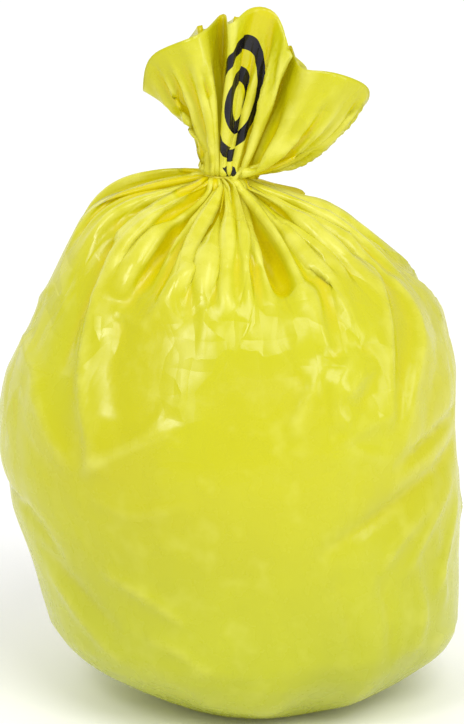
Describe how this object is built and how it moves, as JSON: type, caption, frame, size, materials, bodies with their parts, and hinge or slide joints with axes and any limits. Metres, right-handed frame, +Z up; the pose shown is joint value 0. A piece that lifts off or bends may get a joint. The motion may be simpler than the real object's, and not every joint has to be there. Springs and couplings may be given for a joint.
{
  "type": "tied clinical waste sack",
  "caption": "Filled yellow film sack for clinical waste, gathered and tied at the neck, with its open mouth flared above the tie.",
  "frame": {"origin": "on the floor, under the middle of the sack's bounding box", "axes": "+Z up through the tied neck, -Y towards the front, +X to the right seen from the front, where the mouth's long lobe points"},
  "size_m": [0.454, 0.428, 0.6903],
  "materials": {
    "film": "gloss",
    "packed_film": "satin",
    "tie": "satin",
    "waste": "matte"
  },
  "bodies": {
    "bag": {"body_film": "film", "star_seal": "packed_film", "waste_bundle_1": "waste", "waste_bundle_2": "waste", "waste_bundle_3": "waste", "waste_bundle_4": "waste", "waste_bundle_5": "waste", "waste_bundle_6": "waste", "waste_bundle_7": "waste", "waste_bundle_8": "waste"},
    "tie": {"neck_gather": "packed_film", "tie_loop": "tie"},
    "mouth": {"mouth_film": "film"},
    "pigtail": {"tie_pigtail": "tie"}
  },
  "joints": [
    {"name": "neck_lean", "type": "hinge", "parent": "bag", "child": "tie", "pos_m": [-0.0095, 0, 0.53], "axis": [0, 1, 0], "range_deg": [-32, 8]},
    {"name": "mouth_nod", "type": "hinge", "parent": "tie", "child": "mouth", "pos_m": [-0.0095, 0, 0.53], "axis": [1, 0, 0], "range_deg": [-16, 24]},
    {"name": "pigtail_bend", "type": "hinge", "parent": "tie", "child": "pigtail", "pos_m": [-0.0095, 0.02, 0.53], "axis": [1, 0, 0], "range_deg": [-25, 20]}
  ]
}
